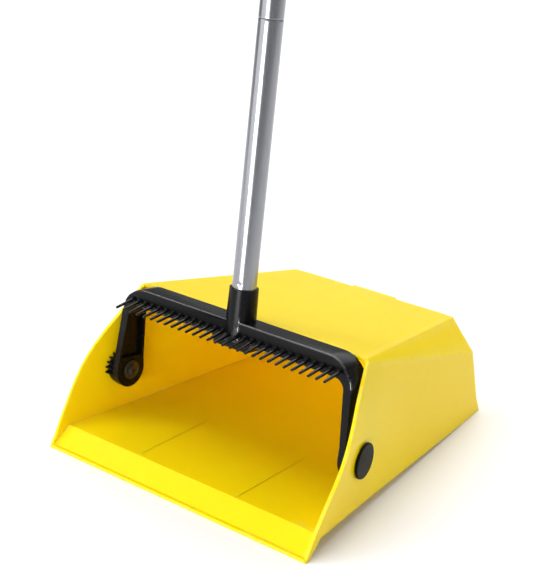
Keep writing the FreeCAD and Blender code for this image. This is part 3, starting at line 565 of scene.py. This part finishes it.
def mesh_edges(mesh):
    """The two ends of every edge, in the pole's own axes, and each edge's length."""
    points = np.empty(len(mesh.vertices) * 3)
    mesh.vertices.foreach_get("co", points)
    ends = np.empty(len(mesh.edges) * 2, int)
    mesh.edges.foreach_get("vertices", ends)
    local = (points.reshape(-1, 3) - HINGE) @ POLE_AXES.T
    pairs = local[ends.reshape(-1, 2)]
    return pairs, np.linalg.norm(pairs[:, 0] - pairs[:, 1], axis=1)


def sharp_edges(mesh):
    """True for each edge whose faces turn by more than 30 degrees."""
    skin = bmesh.new()
    skin.from_mesh(mesh)
    turns = np.array([edge.calc_face_angle(0) for edge in skin.edges])
    skin.free()
    return turns > math.radians(30)


def ease_chosen(piece, chosen, width, segments):
    """Rounds the chosen sharp edges by width. The other sharp edges stay crisp."""
    sharp = sharp_edges(piece.data)
    crisp = piece.data.attributes.new("sharp_edge", "BOOLEAN", "EDGE")
    crisp.data.foreach_set("value", sharp & ~chosen)
    weight = piece.data.attributes.new("bevel_weight_edge", "FLOAT", "EDGE")
    weight.data.foreach_set("value", (sharp & chosen) * 1.0)
    ease = piece.modifiers.new("eased_edges", "BEVEL")
    ease.width = width
    ease.segments = segments
    ease.limit_method = "WEIGHT"
    ease.use_clamp_overlap = False
    ease.harden_normals = True


yoke = joined_copy("yoke_moulding", "yoke", satin_black, "pole")
ends, lengths = mesh_edges(yoke.data)
on_front = np.all(np.abs(ends[:, :, 1] - BAR_FRONT) < 4e-5, axis=1)
among_teeth = np.all(np.abs(ends[:, :, 2] - TOOTH_Z) < BOSS_REACH, axis=1)
ease_chosen(yoke, on_front & ~among_teeth & (lengths > SHORTEST_EASED), OUTLINE_EASE, 3)
# the rounded outline faces take the glossier, lighter black: a painted highlight line
yoke.data.materials.append(painted_highlight_black)
yoke.modifiers["eased_edges"].material = 1

# ---- broom clip, grip, caps, spacers, screws and washers ---------------------------------------------
# Small black mouldings and blackened fasteners: each is its joined CAD solid with its longer sharp
# edges lightly rounded. The plugs and joint pieces are shut inside the pole and keep their CAD shape.
grip_black = plastic("grip_black", (0.006, 0.006, 0.0066), (0.03, 0.03, 0.03), 0.48, 0.00004,
                     grain_scale=1500.0, cloud_scale=20.0, scuffs=0.2, wear_and_sheen_reach=0.1, variation=0.2, specular=0.4)
cap_black = plastic("cap_black", (0.0045, 0.0042, 0.004), (0.03, 0.03, 0.03), 0.42, 0.00002,
                    grain_scale=2500.0, cloud_scale=30.0, scuffs=0.2, wear_and_sheen_reach=0.05, variation=0.2, specular=0.1)
steel_black = plastic("steel_black", (0.012, 0.012, 0.013), (0.10, 0.10, 0.10), 0.38, 0.00001,
                      grain_scale=3500.0, cloud_scale=60.0, scuffs=0.3, wear_and_sheen_reach=0.2, variation=0.2,
                      specular=0.6)


def small_moulding(name, node, paint, body, width):
    """A joined copy whose sharp edges, where longer than about twice width, are rounded by width."""
    piece = joined_copy(name, node, paint, body)
    lengths = mesh_edges(piece.data)[1]
    ease_chosen(piece, lengths > 2.2 * width, width, 2)


small_moulding("broom_clip_moulding", "broom_clip", satin_black, "broom_clip", 0.0006)
small_moulding("grip_sleeve", "grip", grip_black, "pole", 0.0003)
for hand in ("right", "left"):
    small_moulding(hand + "_cap", hand + "_pivot_cap", cap_black, "pan", 0.0002)
    small_moulding(hand + "_spacer", hand + "_toothed_spacer", satin_black, "pan", 0.0003)
small_moulding("screws", "pivot_screws", steel_black, "pan", 0.0002)
small_moulding("washers", "pivot_washers", steel_black, "pan", 0.0001)
for node in ("base_plug", "lower_joint_socket", "middle_joint_stud", "middle_joint_socket",
             "upper_joint_stud", "grip_plug"):
    frame["nodes"][node].data.materials.clear()
    frame["nodes"][node].data.materials.append(satin_black)

# ---- comb ------------------------------------------------------------------------------------------
# 29 glossy black teeth stand out of the crossbar's front and droop a little, each a slim cone with a
# round tip, on a strip that lies in the slot behind the bar's front wall.
comb_black = plastic("comb_black", (0.0045, 0.0046, 0.005), (0.03, 0.03, 0.032), 0.17, 0.000006,
                     grain_scale=3000.0, cloud_scale=40.0, scuffs=0.05, wear_and_sheen_reach=0.03, variation=0.15,
                     specular=0.36)
TEETH = 29
PITCH = 0.00755
TOOTH_ROOT = 0.0014
TOOTH_TIP = 0.0011
TOOTH_IN = 0.0032
TOOTH_OUT = 0.0196
TOOTH_SIDES = 20
DROOP = math.radians(13)
STRIP_SIZE = ((TEETH - 1) * PITCH + 0.006, 0.0027, 0.0066)
STRIP_MIDDLE = (0, -0.00825, 0.0651)


def from_pole(points):
    """Points given across, behind and up the pole from the hinge, as places in the room."""
    return np.asarray(points) @ POLE_AXES + HINGE


def comb_teeth():
    """Every tooth at once: rings of points whose radius falls evenly from root to tip and then follows
    a quarter circle to the axis, set along a line that leaves the bar forwards and down."""
    turn = np.linspace(0, math.pi / 2, 7)[1:-1]
    shaft = np.linspace(-TOOTH_IN, TOOTH_OUT - TOOTH_TIP, 10)
    slim = TOOTH_ROOT + (TOOTH_TIP - TOOTH_ROOT) * (shaft + TOOTH_IN) / (TOOTH_OUT + TOOTH_IN)
    out = np.concatenate([shaft, shaft[-1] + TOOTH_TIP * np.sin(turn), [TOOTH_OUT]])
    radius = np.concatenate([slim, slim[-1] * np.cos(turn), [slim[-1] * 0.05]])
    angle = np.linspace(0, 2 * math.pi, TOOTH_SIDES + 1)[:-1]
    ahead = np.array([0, -math.cos(DROOP), -math.sin(DROOP)])
    above = np.array([0, -math.sin(DROOP), math.cos(DROOP)])
    ring = np.cos(angle)[:, None] * across_pole + np.sin(angle)[:, None] * above
    tooth = out[:, None, None] * ahead + radius[:, None, None] * ring
    places = np.zeros((TEETH, 3))
    places[:, 0] = (np.arange(TEETH) - (TEETH - 1) / 2) * PITCH
    places[:, 1] = BAR_FRONT
    places[:, 2] = TOOTH_Z
    points = places[:, None, None] + tooth[None]
    count = len(out) * TOOTH_SIDES
    starts = np.arange(TEETH)[:, None] * count
    quads = grid_faces(len(out), TOOTH_SIDES, wrap_columns=True)
    faces = (quads[None] + starts[:, :, None]).reshape(-1, 4).tolist()
    faces += (np.arange(TOOTH_SIDES)[::-1] + starts).tolist()
    faces += (np.arange(count - TOOTH_SIDES, count) + starts).tolist()
    return points.reshape(-1, 3), faces


tooth_points, tooth_faces = comb_teeth()
strip_points, strip_faces = box_mesh(STRIP_SIZE, STRIP_MIDDLE)
comb_points = from_pole(np.concatenate([tooth_points, strip_points]))
comb_faces = tooth_faces + (strip_faces + len(tooth_points)).tolist()
face_outward(new_piece("comb", comb_points, comb_faces, comb_black, "pole", ["comb_strip"]))

# ---- pole ------------------------------------------------------------------------------------------
# Three thin steel tubes in satin silver lacquer, end to end. Each end is rolled in a little, and the
# lowest tube is crimped onto its plug by one shallow dimple just above the collar.
POLE_Y = -0.002
TUBE_R = 0.0095
TUBE_INSIDE = 0.0088
TUBE_SIDES = 128
RIM_R = 0.0090
ROLL = 0.0007
END_BAND = 0.002
MOUTH_IN = 0.0001
DIMPLE_UP = 0.104
DIMPLE_AROUND = math.radians(15)
DIMPLE_DEEP = 0.0004
DIMPLE_SPREAD = 0.0013
DIMPLE_RINGS = np.linspace(-0.003, 0.003, 31)


def silver_lacquer():
    """Satin silver lacquer on steel tube: fine metallic flake, a faint lengthwise draw, soft gloss."""
    paint = bpy.data.materials.new("silver_lacquer")
    paint.use_nodes = True
    tree = paint.node_tree
    shader = tree.nodes["Principled BSDF"]
    place = tree.nodes.new("ShaderNodeTexCoord")
    flake = tree.nodes.new("ShaderNodeTexNoise")
    flake.inputs["Scale"].default_value = 3200
    flake.inputs["Detail"].default_value = 1
    draw = tree.nodes.new("ShaderNodeMapping")
    draw.inputs["Rotation"].default_value = (math.radians(11), 0, 0)
    draw.inputs["Scale"].default_value = (900, 900, 14)
    streak = tree.nodes.new("ShaderNodeTexNoise")
    streak.inputs["Scale"].default_value = 1
    streak.inputs["Detail"].default_value = 2
    link(tree, place.outputs["Object"], flake.inputs["Vector"])
    link(tree, place.outputs["Object"], draw.inputs["Vector"])
    link(tree, draw.outputs["Vector"], streak.inputs["Vector"])
    both = tree.nodes.new("ShaderNodeMath")
    both.operation = "ADD"
    link(tree, flake.outputs["Fac"], both.inputs[0])
    link(tree, streak.outputs["Fac"], both.inputs[1])
    tint = tree.nodes.new("ShaderNodeMapRange")
    tint.inputs["From Min"].default_value = 0.6
    tint.inputs["From Max"].default_value = 1.4
    colour = tree.nodes.new("ShaderNodeMix")
    colour.data_type = "RGBA"
    colour.inputs["A"].default_value = (0.26, 0.265, 0.29, 1)
    colour.inputs["B"].default_value = (0.34, 0.345, 0.37, 1)
    link(tree, both.outputs["Value"], tint.inputs["Value"])
    link(tree, tint.outputs["Result"], colour.inputs["Factor"])
    link(tree, colour.outputs["Result"], shader.inputs["Base Color"])
    rough = tree.nodes.new("ShaderNodeMapRange")
    rough.inputs["To Min"].default_value = 0.18
    rough.inputs["To Max"].default_value = 0.26
    link(tree, streak.outputs["Fac"], rough.inputs["Value"])
    link(tree, rough.outputs["Result"], shader.inputs["Roughness"])
    bump = tree.nodes.new("ShaderNodeBump")
    bump.inputs["Strength"].default_value = 0.15
    bump.inputs["Distance"].default_value = 0.00001
    link(tree, both.outputs["Value"], bump.inputs["Height"])
    link(tree, bump.outputs["Normal"], shader.inputs["Normal"])
    shader.inputs["Metallic"].default_value = 0.85
    shader.inputs["Coat Weight"].default_value = 0.3
    shader.inputs["Coat Roughness"].default_value = 0.2
    return paint


def tube(name, node, dimpled=False):
    """A tube as one grid: rings along it, the outside from end to end with both ends rolled in by a
    quarter circle, then back along the inside. A dimple lowers the radius by a bell round its middle."""
    low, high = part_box(node)
    # a leaning tube's box reaches past the middle of each end by the rim's rise or fall
    back_rise = POLE_AXES[1][2]
    start = (low.z - HINGE[2] - back_rise * (POLE_Y + RIM_R)) / up_pole[2]
    end = (high.z - HINGE[2] - back_rise * (POLE_Y - RIM_R)) / up_pole[2]
    turn = np.linspace(0, math.pi / 2, 6)
    middle = np.linspace(start + END_BAND, end - END_BAND, 120)
    if dimpled:
        middle = np.sort(np.concatenate([middle, DIMPLE_UP + DIMPLE_RINGS]))
    up = np.concatenate([start + ROLL * (1 - np.cos(turn)), middle, end - ROLL + ROLL * np.sin(turn),
                         [end - MOUTH_IN, start + MOUTH_IN]])
    radius = np.concatenate([TUBE_R - ROLL * (1 - np.sin(turn)), np.full(len(middle), TUBE_R),
                             TUBE_R - ROLL * (1 - np.cos(turn)), [TUBE_INSIDE, TUBE_INSIDE]])
    angle = np.linspace(0, 2 * math.pi, TUBE_SIDES + 1)[:-1]
    radii = np.repeat(radius[:, None], TUBE_SIDES, 1)
    if dimpled:
        aside = TUBE_R * np.sin(angle[None, :] - DIMPLE_AROUND)
        away = np.hypot(up[:, None] - DIMPLE_UP, aside) / DIMPLE_SPREAD
        facing = np.cos(angle[None, :] - DIMPLE_AROUND) > 0
        outside = (radius > TUBE_R - 1e-5)[:, None]
        radii = radii - DIMPLE_DEEP * np.exp(-away ** 2) * facing * outside
    points = np.stack([radii * np.sin(angle), POLE_Y - radii * np.cos(angle),
                       np.repeat(up[:, None], TUBE_SIDES, 1)], -1)
    faces = grid_faces(len(up), TUBE_SIDES, wrap_columns=True, wrap_rows=True).tolist()
    piece = new_piece(name, from_pole(points.reshape(-1, 3)), faces, silver, "pole", [node])
    face_outward(piece)


silver = silver_lacquer()
tube("lower_pole", "lower_tube", dimpled=True)
tube("middle_pole", "middle_tube")
tube("upper_pole", "upper_tube")
